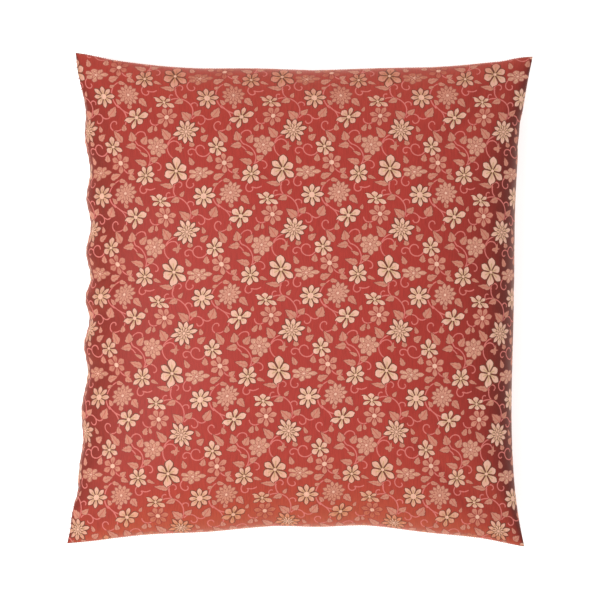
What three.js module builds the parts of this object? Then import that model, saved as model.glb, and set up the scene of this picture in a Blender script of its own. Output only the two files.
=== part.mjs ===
// A zabuton: a Japanese floor cushion, lying on its back on the floor. Millimetres, +Z up.
// Its cover is one length of brocade, folded along +X and sewn along the other three sides, and the
// stuffing makes it one filled body: a broad crown, sides drawn in between four pointed corners, a
// puckered closing seam along -X and an underside that its own weight presses flat.

import * as THREE from 'three';
import { ParametricGeometry } from 'three/addons/geometries/ParametricGeometry.js';
import { mergeGeometries, mergeVertices } from 'three/addons/utils/BufferGeometryUtils.js';

// Driving dimensions
const WIDTH = 550; // across X, between the corner tips
const LENGTH = 590; // along Y, between the corner tips
const THICKNESS = 108; // floor to the top of the crown
const SEAM_HEIGHT = 46; // floor to the seam, in the middle of a side
const CORNER_DROP = 13; // how much lower the corner tips hang
const FLOOR_SHARE = 0.7; // share of each half width that the floor presses flat
const BELLY_SQUARENESS = 4; // 2 rounds the belly off between two sides, and more keeps it square
const CROWN_FULLNESS = 2.8; // 2 is an ellipse, and more is a flatter crown with rounder sides
const COLOUR = 0xbf6a5e; // the brocade's red, salmon and cream, as they mix from a step away

// The corner tips, as each leans out of the plain rectangle (+) or into it (-).
const CORNERS = {
  closingFoot: { across: 2, along: 2 },
  foldFoot: { across: -1, along: -1 },
  closingHead: { across: -1, along: -1 },
  foldHead: { across: 2, along: 1 },
};

// The four sides, each from its first corner to its second: how deep it is drawn in and where it is
// deepest, how quickly it gets there, how rounded its edge is, and the waves that its seam puckers into.
const SIDES = {
  closing: { depth: 19, deepest: 0.55, rush: 2.8, edge: 0.56, waves: 9, waveDepth: 2.2 }, // -X
  fold: { depth: 20, deepest: 0.46, rush: 3.4, edge: 0.5, waves: 2, waveDepth: 0.5 }, // +X
  foot: { depth: 24, deepest: 0.6, rush: 1.65, edge: 0.53, waves: 4, waveDepth: 1.2 }, // -Y
  head: { depth: 16, deepest: 0.42, rush: 3.6, edge: 0.53, waves: 3, waveDepth: 0.8 }, // +Y
};

// Soft furrows that run from a corner towards the middle, where the two sides pull on the cloth.
const FURROW = { depth: 5, halfWidth: 17, length: 120 };

// The stuffing's gentle unevenness: how many swells lie across and along, and how high they are.
const SWELLS = [
  { across: 1.5, along: 2.0, height: 1.2, shift: 0.6 },
  { across: 2.5, along: 1.0, height: 0.9, shift: 2.1 },
  { across: 3.5, along: 3.0, height: 0.6, shift: 4.0 },
];

const PUCKER_REACH = 0.08; // how far in from the seam a pucker shows, as a share of the half width
const PUCKER_DENT = 0.12; // how much of the height a pucker takes away at the seam
const ODD_PUCKER = { share: 0.6, pace: 0.62, shift: 1 }; // a slower wave that keeps the puckers uneven
const SEWN_TOGETHER = 0.01; // vertices of the two halves this close are one
const CELLS_ACROSS = 42;
const CELLS_ALONG = 46;

const { lerp } = THREE.MathUtils;

// Where a corner tip is, from its signs across and along.
function cornerTip(name, signX, signY) {
  const { across, along } = CORNERS[name];
  return new THREE.Vector2(signX * (WIDTH / 2 + across), signY * (LENGTH / 2 + along));
}

const TIPS = {
  closingFoot: cornerTip('closingFoot', -1, -1),
  foldFoot: cornerTip('foldFoot', 1, -1),
  closingHead: cornerTip('closingHead', -1, 1),
  foldHead: cornerTip('foldHead', 1, 1),
};

// The puckers along a side at t, from 0 at its first corner to 1 at its second. They die out at both.
function puckers({ waves }, t) {
  const turns = 2 * Math.PI * waves * t;
  const slower = ODD_PUCKER.share * Math.sin(ODD_PUCKER.pace * turns + ODD_PUCKER.shift);
  return (Math.sin(turns) + slower) * Math.sqrt(Math.sin(Math.PI * t));
}

// How far a side is drawn in at t, from the straight line between its corners.
function drawnIn(side, t) {
  const toDeepest = t < side.deepest ? t / side.deepest : (1 - t) / (1 - side.deepest);
  return side.depth * (1 - (1 - toDeepest) ** side.rush);
}

// How far a side's puckers move the cloth at t, when it lies at some share of the half width from the seam.
function waveOffset(side, t, fromSeam) {
  return side.waveDepth * puckers(side, t) * Math.exp(-fromSeam / PUCKER_REACH);
}

// Place in plan of the cloth at u across and v along, each from -1 at one side to 1 at the other.
function planPlace(u, v) {
  const s = (u + 1) / 2;
  const t = (v + 1) / 2;
  const closingX = lerp(TIPS.closingFoot.x, TIPS.closingHead.x, t) + drawnIn(SIDES.closing, t);
  const foldX = lerp(TIPS.foldFoot.x, TIPS.foldHead.x, t) - drawnIn(SIDES.fold, t);
  const footY = lerp(TIPS.closingFoot.y, TIPS.foldFoot.y, s) + drawnIn(SIDES.foot, s);
  const headY = lerp(TIPS.closingHead.y, TIPS.foldHead.y, s) - drawnIn(SIDES.head, s);
  const waveX = waveOffset(SIDES.closing, t, 1 + u) - waveOffset(SIDES.fold, t, 1 - u);
  const waveY = waveOffset(SIDES.foot, s, 1 + v) - waveOffset(SIDES.head, s, 1 - v);
  return new THREE.Vector2(lerp(closingX, foldX, s) + waveX, lerp(footY, headY, t) + waveY);
}

// Share of the full height at a place across one pair of sides: 1 in the middle and 0 at the edges.
function swell(place, lowSide, highSide) {
  const { edge } = place < 0 ? lowSide : highSide;
  return Math.max(0, 1 - Math.abs(place) ** CROWN_FULLNESS) ** edge;
}

// The stuffing's height at u, v as a share of the crown, with the seams' puckers pressed into its rim.
function fullness(u, v) {
  const across = swell(u, SIDES.closing, SIDES.fold);
  const along = swell(v, SIDES.foot, SIDES.head);
  const nearClosing = Math.exp(-(1 + u) / PUCKER_REACH);
  const nearFoot = Math.exp(-(1 + v) / PUCKER_REACH);
  const closingDent = nearClosing * puckers(SIDES.closing, (v + 1) / 2);
  const footDent = nearFoot * puckers(SIDES.foot, (u + 1) / 2);
  return across * along * (1 - PUCKER_DENT * (closingDent + footDent));
}

// How deep the corner furrows are at a place in plan.
function furrowDepth(place) {
  let depth = 0;
  for (const tip of Object.values(TIPS)) {
    const away = place.clone().sub(tip);
    const inward = tip.clone().negate().normalize();
    const along = away.dot(inward);
    const aside = away.cross(inward);
    const fade = along > 0 ? Math.sin(Math.PI * Math.min(1, along / FURROW.length)) : 0;
    depth += FURROW.depth * fade * Math.exp(-((aside / FURROW.halfWidth) ** 2));
  }
  return depth;
}

// The stuffing's unevenness at u, v, which is nothing at the seams.
function unevenness(u, v) {
  let height = 0;
  for (const { across, along, height: high, shift } of SWELLS) {
    height += high * Math.sin(Math.PI * across * u + shift) * Math.cos(Math.PI * along * v - shift);
  }
  return height * (1 - u * u) * (1 - v * v);
}

// Height of the seams, carried on over the whole plan: level along the sides, lower at the corners.
function seamHeight(u, v) {
  return SEAM_HEIGHT - CORNER_DROP * Math.abs(u * v) ** 3;
}

// The upper half of the cover.
function upperHeight(u, v, place) {
  const crown = THICKNESS - SEAM_HEIGHT;
  const share = fullness(u, v);
  return seamHeight(u, v) + crown * share + unevenness(u, v) - furrowDepth(place) * Math.sqrt(share);
}

// How far a place is past the flat of the underside: 0 where it rests and 1 at the seam.
function pastTheFlat(place) {
  return Math.max(0, (Math.abs(place) - FLOOR_SHARE) / (1 - FLOOR_SHARE));
}

// The lower half of the cover: flat where it rests, then curving up to the seams.
function lowerHeight(u, v) {
  const past = pastTheFlat(u) ** BELLY_SQUARENESS + pastTheFlat(v) ** BELLY_SQUARENESS;
  const reach = Math.min(1, past ** (1 / BELLY_SQUARENESS));
  return seamHeight(u, v) * (1 - Math.sqrt(1 - reach ** 2));
}

// Even steps become steps that crowd towards both sides, where the cloth turns over.
function crowded(step) {
  return Math.sin((step - 0.5) * Math.PI);
}

// One half of the cover as a sheet. The mirrored half runs the other way, so that it also faces out.
function coverSheet(heightAt, mirrored) {
  function cloth(step, row, target) {
    const u = crowded(mirrored ? 1 - step : step);
    const v = crowded(row);
    const place = planPlace(u, v);
    target.set(place.x, place.y, heightAt(u, v, place));
  }
  return new ParametricGeometry(cloth, CELLS_ACROSS, CELLS_ALONG);
}

// The two halves sewn into one closed body, centred in plan and resting on the floor.
function cushionGeometry() {
  const halves = [coverSheet(upperHeight, false), coverSheet(lowerHeight, true)];
  for (const half of halves) {
    half.deleteAttribute('normal');
    half.deleteAttribute('uv');
  }
  const body = mergeVertices(mergeGeometries(halves), SEWN_TOGETHER);
  body.computeBoundingBox();
  const { min, max } = body.boundingBox;
  body.translate(-(min.x + max.x) / 2, -(min.y + max.y) / 2, -min.z);
  body.computeVertexNormals();
  return body;
}

const brocade = new THREE.MeshStandardMaterial({ color: COLOUR, roughness: 0.72, metalness: 0 });
const cushion = new THREE.Mesh(cushionGeometry(), brocade);
cushion.name = 'cushion';

const zabuton = new THREE.Group();
zabuton.add(cushion);

export default zabuton;
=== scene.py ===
# %% [markdown]
# # A zabuton
#
# A zabuton is a Japanese floor cushion. Its cover is one length of brocade, folded along the right
# side and sewn along the other three, and it is stuffed with cotton. This lesson dresses the solid
# model of that cushion: the cover becomes a stuffed cloth, its seams get their stitches, and the
# brocade is drawn by a material that knows where each thread lies on the flat cloth.

# %% Load the frame
import math

import bpy
import numpy as np
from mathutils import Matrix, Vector


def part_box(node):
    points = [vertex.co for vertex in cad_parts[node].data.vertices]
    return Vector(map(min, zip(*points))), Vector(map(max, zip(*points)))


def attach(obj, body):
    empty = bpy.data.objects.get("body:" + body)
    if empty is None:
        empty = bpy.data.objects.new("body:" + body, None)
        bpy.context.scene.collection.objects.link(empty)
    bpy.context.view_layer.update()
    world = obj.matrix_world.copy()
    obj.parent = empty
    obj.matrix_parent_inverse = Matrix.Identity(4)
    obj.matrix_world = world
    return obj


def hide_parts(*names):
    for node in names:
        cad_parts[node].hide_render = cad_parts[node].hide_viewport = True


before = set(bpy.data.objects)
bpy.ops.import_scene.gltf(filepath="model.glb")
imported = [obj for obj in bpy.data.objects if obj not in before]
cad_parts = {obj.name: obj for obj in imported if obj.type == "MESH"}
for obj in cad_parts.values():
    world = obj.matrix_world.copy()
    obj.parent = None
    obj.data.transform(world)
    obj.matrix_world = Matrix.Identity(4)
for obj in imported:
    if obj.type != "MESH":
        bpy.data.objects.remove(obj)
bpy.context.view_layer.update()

MM = 0.001
low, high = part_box("cushion")
print("solid cushion:", [round(size / MM, 1) for size in high - low], "mm")

# %% [markdown]
# ## Camera
#
# The picture looks straight down on the cushion's face. A long lens far away keeps the four sides
# nearly parallel, as in the picture, and the camera is rolled a little because the cushion lies
# slightly turned. The distance follows from the picture's scale at the height of the seams.

# %% Set up the camera
IMAGE_SIDE = 600  # pixels
MM_PER_PIXEL = 1.2  # about 550 mm between two corner tips that are 456 pixels apart
LENS = 100.0  # mm
SENSOR = 36.0  # mm
SEAM_LEVEL = 40 * MM  # middle height of the seams, where the scale holds
ROLL = math.radians(0.69)

camera_data = bpy.data.cameras.new("camera")
camera_data.lens = LENS
camera_data.sensor_width = SENSOR
camera = bpy.data.objects.new("camera", camera_data)
bpy.context.scene.collection.objects.link(camera)
camera_distance = IMAGE_SIDE * MM_PER_PIXEL * MM * LENS / SENSOR
camera.location = (0, 0, SEAM_LEVEL + camera_distance)
camera.rotation_euler = (0, 0, ROLL)
bpy.context.scene.camera = camera
print("camera height:", round(camera.location.z, 3), "m")

# %% [markdown]
# ## Form of the stuffed cover
#
# The stuffing pushes both halves of the cover out, so the cloth that climbs the crown is missing at
# the sides: they are drawn in between four pointed corners. Sculpting could give this, but a few
# formulas of the sizes give it evenly. A place on the cover is u across and v along, each from -1 at
# one side to 1 at the other. The plan says where it lies seen from above, and the crown and the
# underside say how high. Soft furrows run in from the corners, where two sides pull on the cloth.
#
# Each side has its own sizes. It is drawn in by its depth, which is deepest at a share of its length,
# and its rush says how soon it gets there. With a larger square it runs straight a little longer beside
# the corner, and its edge says how steeply the crown rises from it. Its tucks are the places where the
# cloth is gathered, a tuck is their depth, and its dents are single waves of their own depth.

# %% Sizes of the cover
SEAM_HEIGHT = 46 * MM
CORNER_DROP = 13 * MM
DROP_SHARPNESS = 3
CROWN = 58 * MM  # above the seams, before the stuffing pushes it up a little more
CROWN_FULLNESS = 2.8  # more makes the crown broader and its slopes steeper
FLOOR_SHARE = 0.7  # of the underside lies flat on the floor
BELLY_SQUARENESS = 4  # more makes that flat less round at its corners
PUCKER_REACH = 0.08  # share of the half width over which a tuck dies out
PUCKER_DENT = 0.15  # share of the crown's height that a tuck takes away
DENT_HALF = 0.02  # share of a side that half a dent takes up
FURROW = {"depth": 5 * MM, "half_width": 17 * MM, "length": 120 * MM}

TIP_SHORT = 3 * MM  # two of the corner tips fall this short of the box
HEAD_TIP_SHORT = 2 * MM
CORNERS = {
    "closing_foot": Vector((low.x, low.y)),
    "fold_foot": Vector((high.x - TIP_SHORT, low.y + TIP_SHORT)),
    "closing_head": Vector((low.x + TIP_SHORT, high.y - HEAD_TIP_SHORT)),
    "fold_head": Vector((high.x, high.y)),
}
SIDES = {
    "closing": {"depth": 20 * MM, "deepest": 0.55, "rush": 3.4, "square": 0.07, "edge": 0.56,
                "tuck": 3.0 * MM, "tucks": (0.02, 0.11, 0.20, 0.35, 0.46, 0.54, 0.65, 0.76, 0.89, 0.98),
                "dents": {0.155: 3.0 * MM, 0.965: -2.0 * MM}},
    "fold": {"depth": 20 * MM, "deepest": 0.46, "rush": 4.2, "square": 0.01, "edge": 0.50,
             "tuck": 0.5 * MM, "tucks": (-0.1, 0.28, 0.71, 1.1),
             "dents": {0.82: 1.5 * MM, 0.86: 1.8 * MM}},
    "foot": {"depth": 24 * MM, "deepest": 0.60, "rush": 1.65, "square": 0.01, "edge": 0.53,
             "tuck": 1.2 * MM, "tucks": (-0.05, 0.16, 0.45, 0.66, 0.92, 1.1), "dents": {}},
    "head": {"depth": 19 * MM, "deepest": 0.42, "rush": 3.6, "square": 0.08, "edge": 0.53,
             "tuck": 0.8 * MM, "tucks": (-0.1, 0.26, 0.52, 0.83, 1.1), "dents": {0.93: 1.2 * MM}},
}
SWELLS = [
    {"across": 1.5, "along": 2.0, "height": 1.2 * MM, "shift": 0.6},
    {"across": 2.5, "along": 1.0, "height": 0.9 * MM, "shift": 2.1},
    {"across": 3.5, "along": 3.0, "height": 0.6 * MM, "shift": 4.0},
]
print("corner tips:", [[round(place / MM) for place in tip] for tip in CORNERS.values()], "mm")


# %% Plan of the cover
def puckers(side, t):
    """1 at each tuck of a side, -1 between two of them, and 0 at the corners."""
    tucks_passed = np.interp(t, side["tucks"], np.arange(len(side["tucks"])))
    return np.cos(2 * np.pi * tucks_passed) * np.sqrt(np.clip(np.sin(np.pi * t), 0, 1))


def drawn_in(side, t):
    to_deepest = np.where(t < side["deepest"], t / side["deepest"], (1 - t) / (1 - side["deepest"]))
    share = np.clip(to_deepest, 0, 1)
    return side["depth"] * (1 - (1 - share) ** side["rush"]) * share / (share + side["square"])


def wave_offset(side, t, from_seam):
    dents = sum(depth * np.exp(-(((t - at) / DENT_HALF) ** 2)) for at, depth in side["dents"].items())
    return (side["tuck"] * puckers(side, t) + dents) * np.exp(-from_seam / PUCKER_REACH)


def between(first, second, share):
    return first + (second - first) * share


def plan(u, v):
    s, t = (u + 1) / 2, (v + 1) / 2
    tips = CORNERS
    closing = between(tips["closing_foot"].x, tips["closing_head"].x, t) + drawn_in(SIDES["closing"], t)
    fold = between(tips["fold_foot"].x, tips["fold_head"].x, t) - drawn_in(SIDES["fold"], t)
    foot = between(tips["closing_foot"].y, tips["fold_foot"].y, s) + drawn_in(SIDES["foot"], s)
    head = between(tips["closing_head"].y, tips["fold_head"].y, s) - drawn_in(SIDES["head"], s)
    wave_x = wave_offset(SIDES["closing"], t, 1 + u) - wave_offset(SIDES["fold"], t, 1 - u)
    wave_y = wave_offset(SIDES["foot"], s, 1 + v) - wave_offset(SIDES["head"], s, 1 - v)
    return between(closing, fold, s) + wave_x, between(foot, head, t) + wave_y


# %% Heights of the crown and the underside
def swell(place, low_side, high_side):
    edge = np.where(place < 0, low_side["edge"], high_side["edge"])
    return np.clip(1 - np.abs(place) ** CROWN_FULLNESS, 0, 1) ** edge


def fullness(u, v):
    share = swell(u, SIDES["closing"], SIDES["fold"]) * swell(v, SIDES["foot"], SIDES["head"])
    closing_dent = np.exp(-(1 + u) / PUCKER_REACH) * puckers(SIDES["closing"], (v + 1) / 2)
    foot_dent = np.exp(-(1 + v) / PUCKER_REACH) * puckers(SIDES["foot"], (u + 1) / 2)
    return share * (1 - PUCKER_DENT * (closing_dent + foot_dent))


def furrow_depth(x, y):
    depth = 0
    for tip in CORNERS.values():
        inward = -tip.normalized()
        along = (x - tip.x) * inward.x + (y - tip.y) * inward.y
        aside = (x - tip.x) * inward.y - (y - tip.y) * inward.x
        fade = np.sin(np.pi * np.clip(along / FURROW["length"], 0, 1))
        depth = depth + FURROW["depth"] * fade * np.exp(-((aside / FURROW["half_width"]) ** 2))
    return depth


def unevenness(u, v):
    height = 0
    for wave in SWELLS:
        across = np.sin(np.pi * wave["across"] * u + wave["shift"])
        height = height + wave["height"] * across * np.cos(np.pi * wave["along"] * v - wave["shift"])
    return height * (1 - u**2) * (1 - v**2)


def seam_height(u, v):
    return SEAM_HEIGHT - CORNER_DROP * np.abs(u * v) ** DROP_SHARPNESS


def upper_height(u, v):
    share = fullness(u, v)
    furrows = furrow_depth(*plan(u, v)) * np.sqrt(share)
    return seam_height(u, v) + CROWN * share + unevenness(u, v) - furrows


def past_the_flat(place):
    return np.clip((np.abs(place) - FLOOR_SHARE) / (1 - FLOOR_SHARE), 0, 1)


def lower_height(u, v):
    past = past_the_flat(u) ** BELLY_SQUARENESS + past_the_flat(v) ** BELLY_SQUARENESS
    reach = np.clip(past ** (1 / BELLY_SQUARENESS), 0, 1)
    return seam_height(u, v) * (1 - np.sqrt(1 - reach**2))


# %% [markdown]
# ## Cloth that keeps its length
#
# Brocade hardly stretches, so equal steps on the flat cloth must stay equal steps on the stuffed
# cover, or the woven flowers would swell and shrink. The grid is therefore spread along its rows and
# columns until every cell has its fair share of the length. It is finer beside the seams, where the
# cloth turns in sharply. The flat place of each grid point becomes the cover's UV map, in metres of
# cloth: the front runs to the fold and the back goes on from there, so the pattern passes round the
# folded side unbroken, as it does on the real one.

# %% Spread a grid evenly over the cover
CLOTH_WIDTH = 554 * MM  # cut to lie without slack over the crown
CLOTH_LENGTH = 594 * MM
CELLS_ACROSS = 98
CELLS_ALONG = 104
RIM_CELLS = (1.5 * MM, 3.5 * MM, 6.5 * MM)  # extra grid lines, at these distances from a seam
SPREADING_ROUNDS = 4


def grid_lines(size, cells):
    rim = np.array((0.0,) + RIM_CELLS)
    inner = np.linspace(0, size, cells + 1)[2:-2]
    return np.concatenate([rim, inner, (size - rim)[::-1]]) - size / 2


def cover_points(u, v, height):
    x, y = plan(u, v)
    return np.stack([x, y, height(u, v)], axis=-1)


def evened(points, places, lines):
    """Places along each row of points, moved so that the points share its length as the grid lines do."""
    steps = np.linalg.norm(np.diff(points, axis=1), axis=2)
    lengths = np.concatenate([np.zeros((len(points), 1)), np.cumsum(steps, axis=1)], axis=1)
    shares = (lines - lines[0]) / (lines[-1] - lines[0])
    return np.array([np.interp(shares * run[-1], run, row) for run, row in zip(lengths, places)])


def spread_grid(height, lines_x, lines_y):
    u, v = np.meshgrid(np.sin(lines_x / lines_x[-1] * np.pi / 2), np.sin(lines_y / lines_y[-1] * np.pi / 2))
    for _ in range(SPREADING_ROUNDS):
        u = evened(cover_points(u, v, height), u, lines_x)
        v = evened(cover_points(u, v, height).swapaxes(0, 1), v.T, lines_y).T
    return cover_points(u, v, height)


def run_length(points):
    return round(np.linalg.norm(np.diff(points, axis=0), axis=1).sum() / MM, 1)


lines_across = grid_lines(CLOTH_WIDTH, CELLS_ACROSS)
lines_along = grid_lines(CLOTH_LENGTH, CELLS_ALONG)
front_points = spread_grid(upper_height, lines_across, lines_along)
back_points = spread_grid(lower_height, lines_across, lines_along)
middle_row, middle_column = len(lines_along) // 2, len(lines_across) // 2
print("cloth over the crown:", run_length(front_points[middle_row]), "mm across and",
      run_length(front_points[:, middle_column]), "mm along")
print("cloth along the sides:", run_length(front_points[0]), "mm across and",
      run_length(front_points[:, 0]), "mm along")
print("cloth under the belly:", run_length(back_points[middle_row]), "mm across and",
      run_length(back_points[:, middle_column]), "mm along")

# %% Sew the two halves into one mesh
flat_x, flat_y = np.meshgrid(lines_across, lines_along)
grid_shape = flat_x.shape
on_rim = np.zeros(grid_shape, bool)
on_rim[[0, -1], :] = True
on_rim[:, [0, -1]] = True

front_index = np.arange(flat_x.size).reshape(grid_shape)
back_index = np.where(on_rim, front_index, 0)
back_index[~on_rim] = flat_x.size + np.arange(np.count_nonzero(~on_rim))

vertices = np.concatenate([front_points.reshape(-1, 3), back_points[~on_rim]])
flat_places = np.stack([flat_x, flat_y, np.zeros(grid_shape)], axis=-1)
vertex_flat = np.concatenate([flat_places.reshape(-1, 3), flat_places[~on_rim]])


def cell_corners(grid):
    return np.stack([grid[:-1, :-1], grid[:-1, 1:], grid[1:, 1:], grid[1:, :-1]], axis=-1).reshape(-1, 4)


front_faces = cell_corners(front_index)
back_faces = cell_corners(back_index)[:, ::-1]
front_uv = np.stack([cell_corners(flat_x), cell_corners(flat_y)], axis=-1)
back_uv = np.stack([CLOTH_WIDTH - cell_corners(flat_x), cell_corners(flat_y)], axis=-1)[:, ::-1]

cover_mesh = bpy.data.meshes.new("cover")
cover_mesh.from_pydata(vertices.tolist(), [], np.concatenate([front_faces, back_faces]).tolist())
cloth_uv = cover_mesh.uv_layers.new(name="cloth")
cloth_uv.data.foreach_set("uv", np.concatenate([front_uv, back_uv]).ravel().astype(np.float32))
cover_mesh.shade_smooth()
cover = bpy.data.objects.new("cover", cover_mesh)
bpy.context.scene.collection.objects.link(cover)
print("cover:", len(cover_mesh.vertices), "points,", len(cover_mesh.polygons), "cells of about 6 mm")

# %% [markdown]
# ## Settling the stuffed cloth
#
# The formulas give a smooth cushion, but real cloth wrinkles where it has more length than room,
# mostly along the seams and at the corners. Blender's cloth simulation finds those wrinkles. The rest
# shape is the two flat panels, cut with a little ease and gathered where they are sewn. A light
# pressure stands for the stuffing, and a soft hold keeps the cover near the form above, firmer at the
# seams, so that the cloth swells out on both sides of them, and firmest at the corner tips. The flat of
# the underside is held fast, because the floor presses on it.

# %% Cut the panels with ease
EASE = 1.02
CLOSING_GATHER = 0.11  # share of spare cloth along the closing seam
END_GATHER = 0.07  # share of spare cloth along the head and the foot
GATHER_REACH = 40 * MM


def cut_panels(flat):
    """The flat panels, with more cloth beside the sewn sides than the seams take up."""
    near_closing = np.exp(-(flat[:, 0] + CLOTH_WIDTH / 2) / GATHER_REACH)
    near_ends = np.exp(-(CLOTH_LENGTH / 2 - np.abs(flat[:, 1])) / GATHER_REACH)
    panels = flat * EASE
    panels[:, 0] *= 1 + END_GATHER * near_ends
    panels[:, 1] *= 1 + CLOSING_GATHER * near_closing
    return panels


# %% Settle the cover with the cloth simulation
SETTLING_FRAMES = 20
STEPS_PER_FRAME = 6
PRESSURE = 1.5
STRETCH_STIFFNESS = 60
SHEAR_STIFFNESS = 10
BENDING_STIFFNESS = 0.03
HOLD_ON_FORM = 0.075
HOLD_ON_RIM = 0.22
HOLD_AT_TIPS = 0.7
TIP_REACH = 40 * MM
MOST_MOVED = 8 * MM
RESTING = 0.2 * MM  # what lies lower than this rests on the floor
TINY = 1e-9


def points_of(mesh):
    places = np.zeros(len(mesh.vertices) * 3)
    mesh.vertices.foreach_get("co", places)
    return places.reshape(-1, 3)


from_sides = np.array([CLOTH_WIDTH / 2, CLOTH_LENGTH / 2]) - np.abs(vertex_flat[:, :2])
nearness_to_tips = np.exp(-((np.linalg.norm(from_sides, axis=1) / TIP_REACH) ** 2))


def settle(piece, panels):
    """Runs the cloth simulation on a piece whose rest shape is its flat panels, and keeps the result."""
    before = points_of(piece.data)
    piece.shape_key_add(name="stuffed")
    rest = piece.shape_key_add(name="flat")
    rest.data.foreach_set("co", panels.ravel())
    resting = before[:, 2] < RESTING
    hold = piece.vertex_groups.new(name="hold")
    weights = np.full(len(before), HOLD_ON_FORM)
    weights[front_index[on_rim]] = HOLD_ON_RIM
    weights += (HOLD_AT_TIPS - weights) * nearness_to_tips
    weights[resting] = 1.0
    for place, weight in enumerate(weights.tolist()):
        hold.add([place], weight, "REPLACE")
    cloth = piece.modifiers.new("cloth", "CLOTH")
    cloth.settings.rest_shape_key = rest
    cloth.settings.vertex_group_mass = hold.name
    cloth.settings.use_pressure = True
    cloth.settings.uniform_pressure_force = PRESSURE
    cloth.settings.tension_stiffness = cloth.settings.compression_stiffness = STRETCH_STIFFNESS
    cloth.settings.shear_stiffness = SHEAR_STIFFNESS
    cloth.settings.bending_stiffness = BENDING_STIFFNESS
    cloth.settings.effector_weights.gravity = 0
    cloth.settings.quality = STEPS_PER_FRAME
    cloth.collision_settings.use_collision = False
    cloth.point_cache.frame_end = SETTLING_FRAMES
    scene = bpy.context.scene
    for number in range(1, SETTLING_FRAMES + 1):
        scene.frame_set(number)
    settled = piece.evaluated_get(bpy.context.evaluated_depsgraph_get())
    moved = points_of(settled.data) - before
    far = np.linalg.norm(moved, axis=1, keepdims=True)
    moved *= np.minimum(1, MOST_MOVED / np.maximum(far, TINY))
    piece.modifiers.remove(cloth)
    piece.shape_key_clear()
    piece.vertex_groups.clear()
    scene.frame_set(1)
    after = before + moved
    after[:, 2] = np.maximum(after[:, 2], 0)
    piece.data.vertices.foreach_set("co", after.ravel())
    piece.data.update()
    return far / MM


moved_by = settle(cover, cut_panels(vertex_flat))
print("settled by", round(moved_by.mean(), 2), "mm on average,", round(moved_by.max(), 2), "mm at most")

# %% [markdown]
# ## Seams
#
# Where two edges are sewn together, the thread draws the cloth in to a narrow valley. The closing seam
# and the head's seam also turn up a little, so that the lower half shows as a lip beside them when the
# cushion is seen from above. The pull dies out within a few millimetres, sooner below a seam than
# above it. A sewn edge is a little longer than its thread, so the cloth stands out beside it in small
# gathers: every second grid line is pushed out and the others in, by amounts from a fixed seed. An edge
# crease keeps the valley sharp when a Subdivision Surface rounds the rest. The fourth side is the fold,
# which stays round. The corner tips keep their points with a vertex crease.

# %% Draw the seams in and refine the cover
SEAM_PULLS = {
    "foot": {"outward": (0, -1), "drawn_in": 1.6 * MM, "raised": 0.0, "gather": 0.2 * MM},
    "head": {"outward": (0, 1), "drawn_in": 3.0 * MM, "raised": 3.5 * MM, "gather": 0.3 * MM},
    "closing": {"outward": (-1, 0), "drawn_in": 6.0 * MM, "raised": 6.0 * MM, "gather": 1.6 * MM},
}
PULL_ABOVE, PULL_BELOW = 8 * MM, 3 * MM  # how far the pull reaches above and below a seam
GATHER_MIDDLE, GATHER_HALF = 3.5 * MM, 4 * MM  # where the small gathers beside a seam stand out
GATHER_SEED = 11
GATHER_SIZES = (0.3, 1.0)  # smallest and largest share of a gather
UNPULLED_END = 60 * MM  # beside a corner tip, where the pull dies out
sewn_rims = {"foot": front_index[0], "head": front_index[-1, ::-1], "closing": front_index[::-1, 0]}

points = points_of(cover.data)
rows, columns = np.indices(grid_shape)
vertex_lines = [np.concatenate([lines.ravel(), lines[~on_rim]]) for lines in (columns, rows)]
reach = np.where(np.arange(len(points)) < flat_x.size, PULL_ABOVE, PULL_BELOW)
random = np.random.default_rng(GATHER_SEED)
for pull in SEAM_PULLS.values():
    across = int(pull["outward"][0] == 0)
    sign = sum(pull["outward"])
    from_seam = np.where(sign * vertex_flat[:, across] > 0, from_sides[:, across], np.inf)
    to_ends = np.clip(from_sides[:, 1 - across] / UNPULLED_END, 0, 1)
    share = np.exp(-from_seam / reach) * to_ends
    line = vertex_lines[1 - across]
    puffs = random.uniform(*GATHER_SIZES, line.max() + 1)
    puffs[::2] *= -1
    gathered = puffs[line] * np.exp(-(((from_seam - GATHER_MIDDLE) / GATHER_HALF) ** 2)) * to_ends
    points[:, across] += sign * (pull["gather"] * gathered - pull["drawn_in"] * share)
    points[:, 2] += pull["raised"] * share
cover.data.vertices.foreach_set("co", points.ravel())

ends = np.zeros(len(cover.data.edges) * 2, int)
cover.data.edges.foreach_get("vertices", ends)
ends = ends.reshape(-1, 2)
sewn = np.unique(np.concatenate(list(sewn_rims.values())))
folded = front_index[:, -1]
on_seam = np.isin(ends, sewn).all(axis=1) & ~np.isin(ends, folded).all(axis=1)
edge_crease = cover.data.attributes.new("crease_edge", "FLOAT", "EDGE")
edge_crease.data.foreach_set("value", on_seam.astype(np.float32))
at_tip = np.isin(np.arange(len(points)), front_index[[0, 0, -1, -1], [0, -1, 0, -1]])
tip_crease = cover.data.attributes.new("crease_vert", "FLOAT", "POINT")
tip_crease.data.foreach_set("value", at_tip.astype(np.float32))


def made_plain(piece):
    """Turns a piece with its modifiers into a plain mesh."""
    plain = bpy.data.meshes.new_from_object(piece.evaluated_get(bpy.context.evaluated_depsgraph_get()))
    piece.modifiers.clear()
    piece.data = plain


refine = cover.modifiers.new("refine", "SUBSURF")
refine.levels = refine.render_levels = 1
made_plain(cover)
seam_paths = {name: points_of(cover.data)[rim] for name, rim in sewn_rims.items()}
print("refined cover:", len(cover.data.polygons), "cells, seams of",
      [run_length(path) for path in seam_paths.values()], "mm")

# %% [markdown]
# ## Stitches
#
# The closing seam is sewn by hand from outside, with slip stitches that cross it every few
# millimetres. The head and the foot are sewn by machine from inside, and only short bars of thread
# show in the valley. Stitches repeat along a path, so Geometry Nodes lay them: one tree takes a seam's
# path and bends a small strand across it at every step, with a little unevenness from a fixed seed.

# %% Helpers for node trees
MATH, VECTOR_MATH = "ShaderNodeMath", "ShaderNodeVectorMath"


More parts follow.
